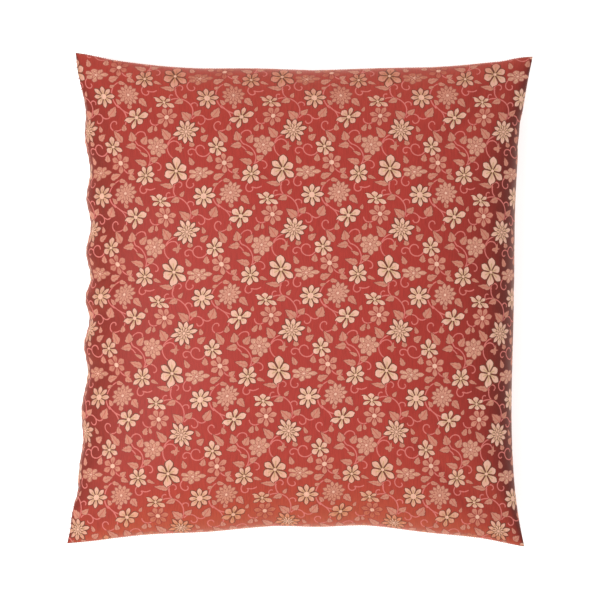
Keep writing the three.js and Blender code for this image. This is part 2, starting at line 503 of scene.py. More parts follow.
def result(node):
    return next(socket for socket in node.outputs if socket.enabled)


def add(tree, kind, inputs=None, **settings):
    """One node with its settings. An input is linked to a node or a socket, or given a value."""
    made = tree.nodes.new(kind)
    for name, value in settings.items():
        setattr(made, name, value)
    for name, value in (inputs or {}).items():
        if isinstance(name, str):
            socket = next(s for s in made.inputs if s.enabled and s.name == name)
        else:
            socket = made.inputs[name]
        if isinstance(value, bpy.types.Node):
            value = result(value)
        if isinstance(value, bpy.types.NodeSocket):
            tree.links.new(value, socket)
        else:
            socket.default_value = value
    return made


def new_group(name, tree_kind, inputs, outputs):
    """A node group with named sockets, and the sockets of its two end nodes."""
    tree = bpy.data.node_groups.new(name, tree_kind)
    for in_out, sockets in (("INPUT", inputs), ("OUTPUT", outputs)):
        for socket, kind in sockets.items():
            tree.interface.new_socket(socket, in_out=in_out, socket_type="NodeSocket" + kind)
    return tree, tree.nodes.new("NodeGroupInput").outputs, tree.nodes.new("NodeGroupOutput").inputs


def linear(hex_colour):
    """An sRGB colour, written as six hex digits, as linear red, green, blue and alpha."""
    shares = [int(hex_colour[place:place + 2], 16) / 255 for place in (1, 3, 5)]
    return [s / 12.92 if s <= 0.04045 else ((s + 0.055) / 1.055) ** 2.4 for s in shares] + [1.0]


def new_material(name):
    """A material, with its node tree and its shader."""
    material = bpy.data.materials.new(name)
    material.use_nodes = True
    return material, material.node_tree, material.node_tree.nodes["Principled BSDF"]


# %% Thread
# Spun cotton thread, dyed to match the ground: matt, with darker flecks between its fibres.
THREAD_FLECK = 0.6  # mm
THREAD_DETAIL = 3.0
THREAD_ROUGHNESS = 0.75
THREAD_SHEEN = 0.2
thread, tree, shader = new_material("spun_cotton_thread")
place = add(tree, "ShaderNodeTexCoord").outputs["Object"]
flecks = add(tree, "ShaderNodeTexNoise",
             {"Vector": place, "Scale": 1 / (THREAD_FLECK * MM), "Detail": THREAD_DETAIL})
dyed = add(tree, "ShaderNodeMix",
           {"Factor": flecks, "A": linear("#7c2422"), "B": linear("#b8443c")}, data_type="RGBA")
tree.links.new(result(dyed), shader.inputs["Base Color"])
shader.inputs["Roughness"].default_value = THREAD_ROUGHNESS
shader.inputs["Sheen Weight"].default_value = THREAD_SHEEN
print("thread nodes:", len(tree.nodes))

# %% Node tree that lays stitches along a seam
STRAND_SIDES = 6
STRAND_STEPS = 5
sewing, given, kept = new_group(
    "stitches", "GeometryNodeTree",
    {"Seam": "Geometry", "Spacing": "Float", "Length": "Float", "Thread": "Float", "Lift": "Float",
     "Rise": "Float", "Lean": "Float", "Seed": "Int", "Material": "Material"},
    {"Stitches": "Geometry"},
)
path = add(sewing, "GeometryNodeMeshToCurve", {"Mesh": given["Seam"]})
steps = add(sewing, "GeometryNodeCurveToPoints", {"Curve": path, "Length": given["Spacing"]}, mode="LENGTH")
sideways = add(sewing, VECTOR_MATH, {0: steps.outputs["Tangent"], 1: (0, 0, 1)}, operation="CROSS_PRODUCT")
level = add(sewing, VECTOR_MATH, {0: sideways}, operation="NORMALIZE")
rise = add(sewing, "ShaderNodeCombineXYZ", {"Z": given["Rise"]})
opening = add(sewing, VECTOR_MATH, {0: level, 1: rise}, operation="ADD")
outward = add(sewing, VECTOR_MATH, {0: opening}, operation="NORMALIZE")
over = add(sewing, VECTOR_MATH, {0: outward, 1: steps.outputs["Tangent"]}, operation="CROSS_PRODUCT")
least_lean = add(sewing, MATH, {0: given["Lean"], 1: -1.0}, operation="MULTIPLY")
lean = add(sewing, "FunctionNodeRandomValue",
           {"Min": least_lean, "Max": given["Lean"], "Seed": given["Seed"]}, data_type="FLOAT")
aslant = add(sewing, VECTOR_MATH, {0: steps.outputs["Tangent"], "Scale": lean}, operation="SCALE")
crossing = add(sewing, VECTOR_MATH, {0: over, 1: aslant}, operation="ADD")
turn = add(sewing, "FunctionNodeAxesToRotation", {"Primary Axis": outward, "Secondary Axis": crossing},
           primary_axis="Z", secondary_axis="X")
lifted_by = add(sewing, VECTOR_MATH, {0: outward, "Scale": given["Lift"]}, operation="SCALE")
lifted = add(sewing, "GeometryNodeSetPosition", {"Geometry": steps, "Offset": lifted_by})

half = add(sewing, MATH, {0: given["Length"], 1: 0.5}, operation="MULTIPLY")
other_half = add(sewing, MATH, {0: given["Length"], 1: -0.5}, operation="MULTIPLY")
strand_start = add(sewing, "ShaderNodeCombineXYZ", {"X": other_half})
strand_middle = add(sewing, "ShaderNodeCombineXYZ", {"Z": given["Thread"]})
strand_end = add(sewing, "ShaderNodeCombineXYZ", {"X": half})
arch = add(sewing, "GeometryNodeCurveQuadraticBezier",
           {"Resolution": STRAND_STEPS, "Start": strand_start, "Middle": strand_middle, "End": strand_end})
thread_radius = add(sewing, MATH, {0: given["Thread"], 1: 0.5}, operation="MULTIPLY")
ring = add(sewing, "GeometryNodeCurvePrimitiveCircle", {"Resolution": STRAND_SIDES, "Radius": thread_radius})
strand = add(sewing, "GeometryNodeCurveToMesh", {"Curve": arch, "Profile Curve": ring, "Fill Caps": True})
laid = add(sewing, "GeometryNodeInstanceOnPoints", {"Points": lifted, "Instance": strand, "Rotation": turn})
realized = add(sewing, "GeometryNodeRealizeInstances", {"Geometry": laid})
dressed = add(sewing, "GeometryNodeSetMaterial", {"Geometry": realized, "Material": given["Material"]})
sewing.links.new(result(dressed), kept["Stitches"])
print("stitch tree:", len(sewing.nodes), "nodes")

# %% Sew the seams
SEAM_STITCHES = {
    "closing": {"Spacing": 7 * MM, "Length": 3.2 * MM, "Thread": 0.7 * MM, "Lift": 0.9 * MM,
                "Rise": 0.8, "Lean": 0.5, "Seed": 3},
    "head": {"Spacing": 3 * MM, "Length": 1.9 * MM, "Thread": 0.5 * MM, "Lift": 0.5 * MM,
             "Rise": 0.6, "Lean": 0.15, "Seed": 5},
    "foot": {"Spacing": 3 * MM, "Length": 1.9 * MM, "Thread": 0.5 * MM, "Lift": 0.5 * MM,
             "Rise": 0.0, "Lean": 0.15, "Seed": 7},
}


def sew(name, path, sizes):
    mesh = bpy.data.meshes.new(name)
    mesh.from_pydata(path.tolist(), [(place, place + 1) for place in range(len(path) - 1)], [])
    piece = bpy.data.objects.new(name, mesh)
    bpy.context.scene.collection.objects.link(piece)
    modifier = piece.modifiers.new("stitches", "NODES")
    modifier.node_group = sewing
    for socket in sewing.interface.items_tree:
        if socket.in_out == "INPUT" and socket.name in sizes:
            modifier[socket.identifier] = sizes[socket.name]
    made_plain(piece)
    return piece


SEAM_ENDS = 4  # grid points at both ends of a seam that are hidden in the corner
stitches = {
    seam: sew(seam + "_stitches", seam_paths[seam][SEAM_ENDS:-SEAM_ENDS], {**sizes, "Material": thread})
    for seam, sizes in SEAM_STITCHES.items()
}
for piece in stitches.values():
    print(piece.name, len(piece.data.polygons), "faces")

# %% [markdown]
# ## Brocade
#
# The cover is a jacquard brocade: a red satin ground with cream and salmon threads that float over it
# to draw flowers, leaves and scrolling stems. It is an ordinary scroll of flowers, on a repeat of
# about 127 by 120 mm. A picture could be wrapped on, but here the repeat is charted as a list
# of flowers, leaves and tendrils, and the material draws each of them from a formula. The UV map is in
# metres of flat cloth, so every size below is a real one.
#
# ### The chart
#
# Places are steps of the chart, x across and y along the cloth, and a step is a little under a
# millimetre. A flower has petals that are fat or slim and more or less uneven, a heart, and on the
# double ones a second ring of petals. Turns are in degrees. A tendril is a spiral that opens from its
# curled tip to where it joins a stem: it has the radius of its tip and of its reach, how far it sweeps
# round, the direction of its end, and the hand it turns to.

# %% Chart of the repeat
REPEAT = (129.0, 123.0, 0.0)  # steps
SALMON, DUSKY, CREAM = 0.0, 0.5, 1.0

FLOWER_COLUMNS = ("x", "y", "radius", "squash", "turn", "petals", "fat", "uneven", "tone", "heart", "ring")
FLOWERS = [
    (0, 0, 13.2, 1.0, 18, 6, 0.76, 0.18, CREAM, 0.17, 0.0),
    (38, 1, 12.6, 1.0, 12, 7, 0.86, 0.06, SALMON, 0.21, 0.0),
    (64, -17, 14.8, 1.0, 14, 10, 0.84, 0.10, CREAM, 0.10, 0.50),
    (28, -36, 12.8, 1.0, 5, 8, 1.02, 0.06, DUSKY, 0.12, 0.60),
    (101, -37, 11.6, 1.0, 96, 6, 0.80, 0.13, CREAM, 0.14, 0.0),
    (49, -66, 15.8, 1.0, 85, 6, 0.84, 0.13, CREAM, 0.12, 0.0),
    (12, -72, 12.0, 1.0, 62, 7, 0.84, 0.12, CREAM, 0.13, 0.0),
    (79, -69, 14.2, 0.62, 4, 7, 0.92, 0.16, DUSKY, 0.12, 0.48),
    (108, -57, 12.2, 1.0, 32, 6, 0.80, 0.08, SALMON, 0.23, 0.0),
    (87, -97, 13.6, 1.0, 3, 8, 0.82, 0.07, CREAM, 0.26, 0.0),
    (119, -94, 13.4, 1.0, 8, 12, 1.06, 0.05, DUSKY, 0.12, 0.66),
    (34, -103, 11.4, 0.80, -25, 6, 0.78, 0.24, CREAM, 0.14, 0.0),
]

LEAF_COLUMNS = ("x", "y", "length", "width", "turn")
LEAVES = [
    (-3, -24, 13, 12, 105), (-5, -36, 14, 10, 188), (13, -28, 12, 11, 60), (39, -20, 17, 12, 130),
    (61, 3, 15, 13, 140), (76, 7, 10, 8, 50), (98, 7, 14, 13, 65), (87, -25, 11, 10, 40),
    (108, -24, 19, 10, 128), (71, -32, 9, 8, 100), (91, -51, 10, 9, 80), (68, -54, 11, 8, 110),
    (5, -56, 16, 10, 160), (23, -52, 11, 9, 25), (40, -84, 18, 8, 172), (52, -102, 12, 9, 200),
    (61, -94, 8, 6, 60), (97, -117, 13, 11, 55), (8, -104, 14, 10, -50), (102, -73, 14, 10, 20),
    (113, -79, 11, 6, -15), (122, -67, 9, 8, 35), (124, -75, 11, 8, -25), (115, -13, 9, 8, 100),
    (20, -14, 10, 8, 65), (26, -13, 8, 5, 100), (84, -15, 9, 6, 115), (57, -37, 13, 5, 80),
    (56, -38, 12, 5, 10), (10, -46, 11, 5, 150), (28, -77, 11, 5, -22), (105, -103, 9, 7, 130),
    (75, -116, 11, 7, 35), (119, -108, 9, 7, 100), (17, -113, 7, 5, 70), (100, -83, 8, 5, 20),
]

TENDRIL_COLUMNS = ("x", "y", "tip", "reach", "sweep", "end", "hand")
TENDRILS = [
    (10, -23.5, 3.6, 12.5, 260, 247, 1), (2, -54, 14, 19.5, 105, 81, 1), (56, -40, 14, 18, 145, 88, -1),
    (51, -36, 5, 9, 190, 165, 1), (52, -117, 16.5, 20, 160, 120, 1), (80, -4.5, 2.4, 11, 320, 160, 1),
    (89, 4, 5.5, 7.5, 105, -20, 1), (102.5, -8.5, 2, 19, 420, 63, 1), (82, -39.5, 4, 10.5, 320, 335, 1),
    (69, -44, 1.6, 7, 290, 27, -1), (26, -63, 2.4, 10, 236, 156, 1), (70.5, -82.5, 2, 10.5, 310, 87, -1),
    (14, -90, 1.8, 8, 290, 120, -1), (19, -80, 9, 10.5, 60, -47, 1), (62, -90, 11, 13, 72, 158, -1),
    (55.5, -84, 2.4, 7.5, 275, 222, 1), (45, -95, 2, 4.5, 150, 225, 1), (118, -93, 18.5, 22, 105, 233, 1),
    (124, -88, 28, 31, 44, 268, 1), (24, -2, 6, 8, 150, 338, 1), (121, -58, 11, 12.5, 70, 287, 1),
    (72, -107, 2.4, 5.5, 180, 172, 1), (-6, -52, 16, 18, 62, 100, 1),
]


def chart(columns, rows):
    return [dict(zip(columns, row)) for row in rows]


print("one repeat:", len(FLOWERS), "flowers,", len(LEAVES), "leaves,", len(TENDRILS), "tendrils")

# %% [markdown]
# ### Motifs
#
# Every motif is drawn in its own frame, where a flower's petals reach to 1 and a leaf lies from -1
# to 1. Drawing all of them everywhere would be slow, so a first group asks which flower or leaf is
# nearest to the thread and passes on only its frame and its form. Wrapping the distance over the
# repeat lets a motif that crosses the repeat's border come out whole.

# %% Group that keeps the nearest motif
keeper, given, kept = new_group(
    "nearest_motif", "ShaderNodeTree",
    {"Cloth": "Vector", "Centre": "Vector", "Turn": "Vector", "Size": "Vector", "Own form": "Vector",
     "Own finish": "Vector", "Nearest": "Float", "Frame": "Vector", "Form": "Vector", "Finish": "Vector"},
    {"Nearest": "Float", "Frame": "Vector", "Form": "Vector", "Finish": "Vector"},
)
HALF_REPEAT = [size / 2 for size in REPEAT]


def from_centre(group, given):
    """The way from a motif's centre to the thread, over the nearest repeat."""
    offset = add(group, VECTOR_MATH, {0: given["Cloth"], 1: given["Centre"]}, operation="SUBTRACT")
    return add(group, VECTOR_MATH,
               {0: offset, 1: HALF_REPEAT, 2: [-size for size in HALF_REPEAT]}, operation="WRAP")


own_frame = add(keeper, "ShaderNodeMapping", {
    "Vector": from_centre(keeper, given), "Rotation": given["Turn"], "Scale": given["Size"],
}, vector_type="TEXTURE")
distance = add(keeper, VECTOR_MATH, {0: own_frame}, operation="LENGTH")
nearer = add(keeper, MATH, {0: distance, 1: given["Nearest"]}, operation="LESS_THAN")
nearest = add(keeper, MATH, {0: distance, 1: given["Nearest"]}, operation="MINIMUM")
keeper.links.new(result(nearest), kept["Nearest"])
for name, own in (("Frame", own_frame), ("Form", given["Own form"]), ("Finish", given["Own finish"])):
    chosen = add(keeper, "ShaderNodeMix", {"Factor": nearer, "A": given[name], "B": own}, data_type="VECTOR")
    keeper.links.new(result(chosen), kept[name])
print("nearest motif:", len(keeper.nodes), "nodes")

# %% Group that draws a ring of petals
PETAL_OUTLINE = [
    (0.0, 0.0), (0.12, 0.05), (0.3, 0.2), (0.5, 0.43), (0.66, 0.56), (0.8, 0.5), (0.92, 0.26), (1.0, 0.0),
]
PETAL_SWING = 2.4  # radians from petal to petal, of the wave that changes their length and width


def shape_curve(node, points):
    """Draws a Float Curve through its points."""
    curve = node.mapping.curves[0]
    curve.points[0].location, curve.points[-1].location = points[0], points[-1]
    for point in points[1:-1]:
        curve.points.new(*point)
    node.mapping.update()


petal_ring, given, kept = new_group(
    "petal_ring", "ShaderNodeTree",
    {"Frame": "Vector", "Petals": "Float", "Fat": "Float", "Uneven": "Float", "Shift": "Float"},
    {"Edge": "Float", "Along": "Float", "Across": "Float"},
)
place = add(petal_ring, "ShaderNodeSeparateXYZ", {0: given["Frame"]}).outputs
radius = add(petal_ring, VECTOR_MATH, {0: given["Frame"]}, operation="LENGTH")
angle = add(petal_ring, MATH, {0: place["Y"], 1: place["X"]}, operation="ARCTAN2")
sector = add(petal_ring, MATH, {0: 2 * math.pi, 1: given["Petals"]}, operation="DIVIDE")
turns = add(petal_ring, MATH, {0: angle, 1: sector}, operation="DIVIDE")
shifted = add(petal_ring, MATH, {0: turns, 1: given["Shift"]}, operation="ADD")
petal = add(petal_ring, MATH, {0: shifted}, operation="ROUND")
aside = add(petal_ring, MATH, {0: shifted, 1: petal}, operation="SUBTRACT")
within = add(petal_ring, MATH, {0: aside, 1: sector}, operation="MULTIPLY")
swing_angle = add(petal_ring, MATH, {0: petal, 1: PETAL_SWING, 2: 1.0}, operation="MULTIPLY_ADD")
swing = add(petal_ring, MATH, {0: swing_angle}, operation="SINE")
petal_length = add(petal_ring, MATH, {0: swing, 1: given["Uneven"], 2: 1.0}, operation="MULTIPLY_ADD")
cosine = add(petal_ring, MATH, {0: within}, operation="COSINE")
straight = add(petal_ring, MATH, {0: radius, 1: cosine}, operation="MULTIPLY")
along = add(petal_ring, MATH, {0: straight, 1: petal_length}, operation="DIVIDE")
sine = add(petal_ring, MATH, {0: within}, operation="SINE")
beside = add(petal_ring, MATH, {0: radius, 1: sine}, operation="MULTIPLY")
across = add(petal_ring, MATH, {0: beside}, operation="ABSOLUTE")
half_sector = add(petal_ring, MATH, {0: sector, 1: 0.5}, operation="MULTIPLY")
widest = add(petal_ring, MATH, {0: half_sector}, operation="TANGENT")
width_swing = add(petal_ring, MATH, {0: swing_angle}, operation="COSINE")
plump = add(petal_ring, MATH,
            {0: width_swing, 1: given["Uneven"], 2: given["Fat"]}, operation="MULTIPLY_ADD")
fat = add(petal_ring, MATH, {0: widest, 1: plump}, operation="MULTIPLY")
profile = add(petal_ring, "ShaderNodeFloatCurve", {"Value": along})
shape_curve(profile, PETAL_OUTLINE)
half_width = add(petal_ring, MATH, {0: profile, 1: fat}, operation="MULTIPLY")
edge = add(petal_ring, MATH, {0: half_width, 1: across}, operation="SUBTRACT")
for name, node in (("Edge", edge), ("Along", along), ("Across", across)):
    petal_ring.links.new(result(node), kept[name])
print("petal ring:", len(petal_ring.nodes), "nodes")

# %% Group that draws a tendril
tendril, given, kept = new_group(
    "tendril", "ShaderNodeTree",
    {"Cloth": "Vector", "Centre": "Vector", "Turn": "Vector", "Hand": "Vector", "Tip": "Float",
     "Opening": "Float", "Sweep": "Float", "Nearest": "Float"},
    {"Nearest": "Float"},
)
own_frame = add(tendril, "ShaderNodeMapping", {
    "Vector": from_centre(tendril, given), "Rotation": given["Turn"], "Scale": given["Hand"],
}, vector_type="TEXTURE")
place = add(tendril, "ShaderNodeSeparateXYZ", {0: own_frame}).outputs
radius = add(tendril, VECTOR_MATH, {0: own_frame}, operation="LENGTH")
angle = add(tendril, MATH, {0: place["Y"], 1: place["X"]}, operation="ARCTAN2")
growth = add(tendril, MATH, {0: radius, 1: given["Tip"]}, operation="DIVIDE")
wound = add(tendril, MATH, {0: growth, 1: given["Opening"]}, operation="LOGARITHM")
behind = add(tendril, MATH, {0: wound, 1: angle}, operation="SUBTRACT")
in_turns = add(tendril, MATH, {0: behind, 1: 2 * math.pi}, operation="DIVIDE")
whole_turns = add(tendril, MATH, {0: in_turns}, operation="ROUND")
reached = add(tendril, MATH, {0: whole_turns, 1: 2 * math.pi, 2: angle}, operation="MULTIPLY_ADD")
bounded = add(tendril, "ShaderNodeClamp", {"Value": reached, "Min": 0.0, "Max": given["Sweep"]})
opened = add(tendril, MATH, {0: given["Opening"], 1: bounded}, operation="POWER")
spiral_radius = add(tendril, MATH, {0: opened, 1: given["Tip"]}, operation="MULTIPLY")
beside = add(tendril, MATH, {0: radius, 1: spiral_radius}, operation="SUBTRACT")
past_end = add(tendril, MATH, {0: reached, 1: bounded}, operation="SUBTRACT")
past_length = add(tendril, MATH, {0: past_end, 1: radius}, operation="MULTIPLY")
both = add(tendril, "ShaderNodeCombineXYZ", {0: beside, 1: past_length})
away = add(tendril, VECTOR_MATH, {0: both}, operation="LENGTH")
least = add(tendril, MATH, {0: away, 1: given["Nearest"]}, operation="MINIMUM")
tendril.links.new(result(least), kept["Nearest"])
print("tendril:", len(tendril.nodes), "nodes")

# %% [markdown]
# ### From the chart to threads
#
# The material lays the colours over each other as the weaver does: the red ground, the pink tendrils,
# the salmon leaves, then the flowers, whose petals have a thin dark outline. The coordinates step from
# thread to thread, because a woven edge is a small staircase.

# %% Find the motifs at a thread
CHART_STEP = (0.984, 0.973, 1.0)  # mm of cloth, across and along
CHART_ORIGIN = (-72.7, 97.0, 0.0)  # mm from the middle of the front to the first flower
THREAD_STEP = 0.35  # steps of the chart between two threads that it can tell apart
FAR = 1000.0  # steps, farther than any motif

# Jacquard brocade is a satin with floats: smooth, with a soft lustre that changes as the cloth turns.
brocade, tree, shader = new_material("jacquard_brocade")
uv = add(tree, "ShaderNodeUVMap", uv_map="cloth")
millimetres = add(tree, VECTOR_MATH, {0: uv, "Scale": 1 / MM}, operation="SCALE")
from_origin = add(tree, VECTOR_MATH, {0: millimetres, 1: CHART_ORIGIN}, operation="SUBTRACT")
charted = add(tree, VECTOR_MATH, {0: from_origin, 1: CHART_STEP}, operation="DIVIDE")
cloth = add(tree, VECTOR_MATH, {0: charted, 1: (THREAD_STEP,) * 3}, operation="SNAP")

stem_distance = FAR
for row in chart(TENDRIL_COLUMNS, TENDRILS):
    sweep = math.radians(row["sweep"])
    stem_distance = add(tree, "ShaderNodeGroup", {
        "Cloth": cloth, "Centre": (row["x"], row["y"], 0),
        "Turn": (0, 0, math.radians(row["end"]) - row["hand"] * sweep), "Hand": (1, row["hand"], 1),
        "Tip": row["tip"], "Opening": (row["reach"] / row["tip"]) ** (1 / sweep), "Sweep": sweep,
        "Nearest": stem_distance,
    }, node_tree=tendril)


def nearest_of(rows):
    """The frame, form and finish of the motif that is nearest to the thread."""
    found = {"Nearest": FAR, "Frame": (0, 0, 0), "Form": (0, 0, 0), "Finish": (0, 0, 0)}
    for row in rows:
        node = add(tree, "ShaderNodeGroup", {"Cloth": cloth, **row, **found}, node_tree=keeper)
        found = {name: node.outputs[name] for name in found}
    return found


leaf_at = nearest_of([{
    "Centre": (row["x"], row["y"], 0), "Turn": (0, 0, math.radians(row["turn"])),
    "Size": (row["length"] / 2, row["width"] / 2, 1),
} for row in chart(LEAF_COLUMNS, LEAVES)])

flower_at = nearest_of([{
    "Centre": (row["x"], row["y"], 0), "Turn": (0, 0, math.radians(row["turn"])),
    "Size": (row["radius"], row["radius"] * row["squash"], 1),
    "Own form": (row["petals"], row["fat"], row["uneven"]),
    "Own finish": (row["tone"], row["heart"], max(row["ring"], 1 / FAR)),
} for row in chart(FLOWER_COLUMNS, FLOWERS)])
print("motifs found by", len(tree.nodes), "nodes")

# %% Leaf and stem
STEM_HALF = 0.72  # steps
LEAF_OUTLINE = [
    (0.0, 0.0), (0.07, 0.34), (0.22, 0.78), (0.34, 0.84), (0.44, 0.66), (0.58, 0.66), (0.7, 0.44),
    (0.84, 0.26), (1.0, 0.0),
]
LEAF_EDGE, RIB_HALF = 0.14, 0.07  # shares of a leaf's half width
LEAF_REACH = 1.1  # share of a leaf's size within which its border lies
leaf_place = add(tree, "ShaderNodeSeparateXYZ", {0: leaf_at["Frame"]}).outputs
leaf_along = add(tree, MATH, {0: leaf_place["X"], 1: 0.5, 2: 0.5}, operation="MULTIPLY_ADD")
leaf_across = add(tree, MATH, {0: leaf_place["Y"]}, operation="ABSOLUTE")
leaf_profile = add(tree, "ShaderNodeFloatCurve", {"Value": leaf_along})
shape_curve(leaf_profile, LEAF_OUTLINE)
leaf_inside = add(tree, MATH, {0: leaf_profile, 1: leaf_across}, operation="SUBTRACT")
leaf_mask = add(tree, MATH, {0: leaf_inside, 1: 0.0}, operation="GREATER_THAN")
leaf_line = add(tree, MATH, {0: leaf_inside, 1: 0.0, 2: LEAF_EDGE}, operation="COMPARE")
near_leaf = add(tree, MATH, {0: leaf_at["Nearest"], 1: LEAF_REACH}, operation="LESS_THAN")
leaf_border = add(tree, MATH, {0: leaf_line, 1: near_leaf}, operation="MULTIPLY")
rib_mask = add(tree, MATH, {0: leaf_across, 1: RIB_HALF}, operation="LESS_THAN")
rib_on_leaf = add(tree, MATH, {0: rib_mask, 1: leaf_mask}, operation="MULTIPLY")
stem_mask = add(tree, MATH, {0: stem_distance, 1: STEM_HALF}, operation="LESS_THAN")
print("leaves and stems drawn,", len(tree.nodes), "nodes so far")

# %% Flower
OUTLINE = 0.09  # shares of the flower's radius
VEIN_HALF = 0.035
VEIN_REACH = 0.62
form = add(tree, "ShaderNodeSeparateXYZ", {0: flower_at["Form"]}).outputs
finish = add(tree, "ShaderNodeSeparateXYZ", {0: flower_at["Finish"]}).outputs
tone, heart_size, ring_size = finish
outer = add(tree, "ShaderNodeGroup", {
    "Frame": flower_at["Frame"], "Petals": form[0], "Fat": form[1], "Uneven": form[2], "Shift": 0.0,
}, node_tree=petal_ring).outputs
ring_scale = add(tree, MATH, {0: 1.0, 1: ring_size}, operation="DIVIDE")
ring_frame = add(tree, VECTOR_MATH, {0: flower_at["Frame"], "Scale": ring_scale}, operation="SCALE")
inner = add(tree, "ShaderNodeGroup", {
    "Frame": ring_frame, "Petals": form[0], "Fat": form[1], "Uneven": form[2], "Shift": 0.5,
}, node_tree=petal_ring).outputs
petal_mask = add(tree, MATH, {0: outer["Edge"], 1: 0.0}, operation="GREATER_THAN")
outline_mask = add(tree, MATH, {0: outer["Edge"], 1: -OUTLINE}, operation="GREATER_THAN")
inner_line = add(tree, MATH, {0: inner["Edge"], 1: 0.0, 2: OUTLINE}, operation="COMPARE")
inner_mask = add(tree, MATH, {0: inner["Edge"], 1: 0.0}, operation="GREATER_THAN")
vein_line = add(tree, MATH, {0: outer["Across"], 1: VEIN_HALF}, operation="LESS_THAN")
vein_short = add(tree, MATH, {0: outer["Along"], 1: VEIN_REACH}, operation="LESS_THAN")
vein_inside = add(tree, MATH, {0: vein_line, 1: vein_short}, operation="MULTIPLY")
vein_mask = add(tree, MATH, {0: vein_inside, 1: petal_mask}, operation="MULTIPLY")
heart_mask = add(tree, MATH, {0: flower_at["Nearest"], 1: heart_size}, operation="LESS_THAN")
float_leaf = add(tree, MATH, {0: leaf_mask, 1: stem_mask}, operation="MAXIMUM")
float_mask = add(tree, MATH, {0: petal_mask, 1: float_leaf}, operation="MAXIMUM")
print("flowers drawn,", len(tree.nodes), "nodes so far")

# %% [markdown]
# ### Colour and finish
#
# Flowers come in three tones: cream ones with a dark outline, salmon ones, and dusky ones with pale
# veins. The satin's sheen and the shade on its slopes are painted into the colour by the tilt of the
# cloth, since its smooth threads all lie one way. The ground's threads run across the cloth, so painted
# shade deepens the red where the cover turns down at its left and right sides, most at the fold, and
# painted sheen makes it lighter and more orange at the head and the foot. The floats run along the
# cloth and do the opposite: painted shade deepens them to gold at the head and the foot, and makes them
# only a little duller on the left. The material reads the tilt from the normal, so the painted sheen and
# shade move with the cloth.

# %% Tilt of the cloth, which masks the painted sheen and shade
TILTED_FROM, TILTED_TO = 0.05, 0.65  # share of the normal that points aside
normal = add(tree, "ShaderNodeSeparateXYZ", {0: add(tree, "ShaderNodeTexCoord").outputs["Normal"]}).outputs


def tilt_paint_mask(axis, sign):
    """0 where the cloth lies level, and 1 where it turns down to one side: the mask of the painted sheen and
    shade on that side.
    """
    aside = add(tree, MATH, {0: normal[axis], 1: sign}, operation="MULTIPLY")
    return add(tree, "ShaderNodeMapRange", {
        "Value": aside, "From Min": TILTED_FROM, "From Max": TILTED_TO}, interpolation_type="SMOOTHSTEP")


sheen_and_shade_masks = {
    "fold": tilt_paint_mask("X", 1), "closing": tilt_paint_mask("X", -1), "head": tilt_paint_mask("Y", 1), "foot": tilt_paint_mask("Y", -1),
}
print("tilt read towards", ", ".join(sheen_and_shade_masks))

# %% Lay the colours over each other
GROUND = linear("#a4332a")
# Painted shade and sheen of the ground: deeper red where the cloth turns down to the fold and the closing
# side, lighter and more orange towards the head and the foot.
GROUND_SHEEN_AND_SHADE = {"fold": "#62160c", "closing": "#782216", "head": "#a63e31", "foot": "#ae4a32"}
# Painted shade of the petals: they darken where the cloth turns down at the closing side, the head and the
# foot.
PETAL_TILT_SHADE = {"closing": "#e8d6d0", "head": "#e6b8ae", "foot": "#eabca2"}
STEM = linear("#cb6f66")
LEAF, LEAF_RIB, LEAF_BORDER = linear("#c27f6a"), linear("#b86050"), linear("#86352c")
HEART = linear("#e4b29a")
FLOWER_TONES = {
    "base": {SALMON: "#c07864", DUSKY: "#c48570", CREAM: "#d3a384"},
    "tip": {SALMON: "#ca8570", DUSKY: "#cd927b", CREAM: "#e4b19e"},
    "line": {SALMON: "#96382f", DUSKY: "#9a4c40", CREAM: "#6c3a28"},
    "vein": {SALMON: "#ae6052", DUSKY: "#ddb593", CREAM: "#bf9b70"},
}
HALF_TONE = DUSKY / 2  # half the step from tone to tone


def toned(colours):
    """A colour that is picked by the flower's tone."""
    ramp = add(tree, "ShaderNodeValToRGB", {"Fac": tone})
    ramp.color_ramp.interpolation = "CONSTANT"
    stops = ramp.color_ramp.elements
    stops.new(DUSKY)
    for stop, (at, colour) in zip(stops, colours.items()):
        stop.position = max(0, at - HALF_TONE)
        stop.color = linear(colour)
    return ramp


flower_colour = {name: toned(colours) for name, colours in FLOWER_TONES.items()}
petal_colour = add(tree, "ShaderNodeMix", {
    "Factor": outer["Along"], "A": flower_colour["base"], "B": flower_colour["tip"],
}, data_type="RGBA")
woven = GROUND
layers = [
    *((sheen_and_shade_masks[side], linear(colour)) for side, colour in GROUND_SHEEN_AND_SHADE.items()),
    (stem_mask, STEM), (leaf_border, LEAF_BORDER), (leaf_mask, LEAF), (rib_on_leaf, LEAF_RIB),
    (outline_mask, flower_colour["line"]), (petal_mask, petal_colour), (vein_mask, flower_colour["vein"]),
    (inner_line, flower_colour["line"]), (inner_mask, petal_colour), (heart_mask, HEART),
]
for mask, colour in layers:
    woven = add(tree, "ShaderNodeMix", {"Factor": mask, "A": woven, "B": colour}, data_type="RGBA")
# Painted shade: the petals are darkened where the cloth turns down, standing in for their lost sheen.
for side, colour in PETAL_TILT_SHADE.items():
    shaded_petals = add(tree, MATH, {0: sheen_and_shade_masks[side], 1: petal_mask}, operation="MULTIPLY")
    woven = add(tree, "ShaderNodeMix", {"Factor": shaded_petals, "A": woven, "B": linear(colour)},
                data_type="RGBA", blend_type="MULTIPLY")
print("colours laid in", len(layers), "layers")
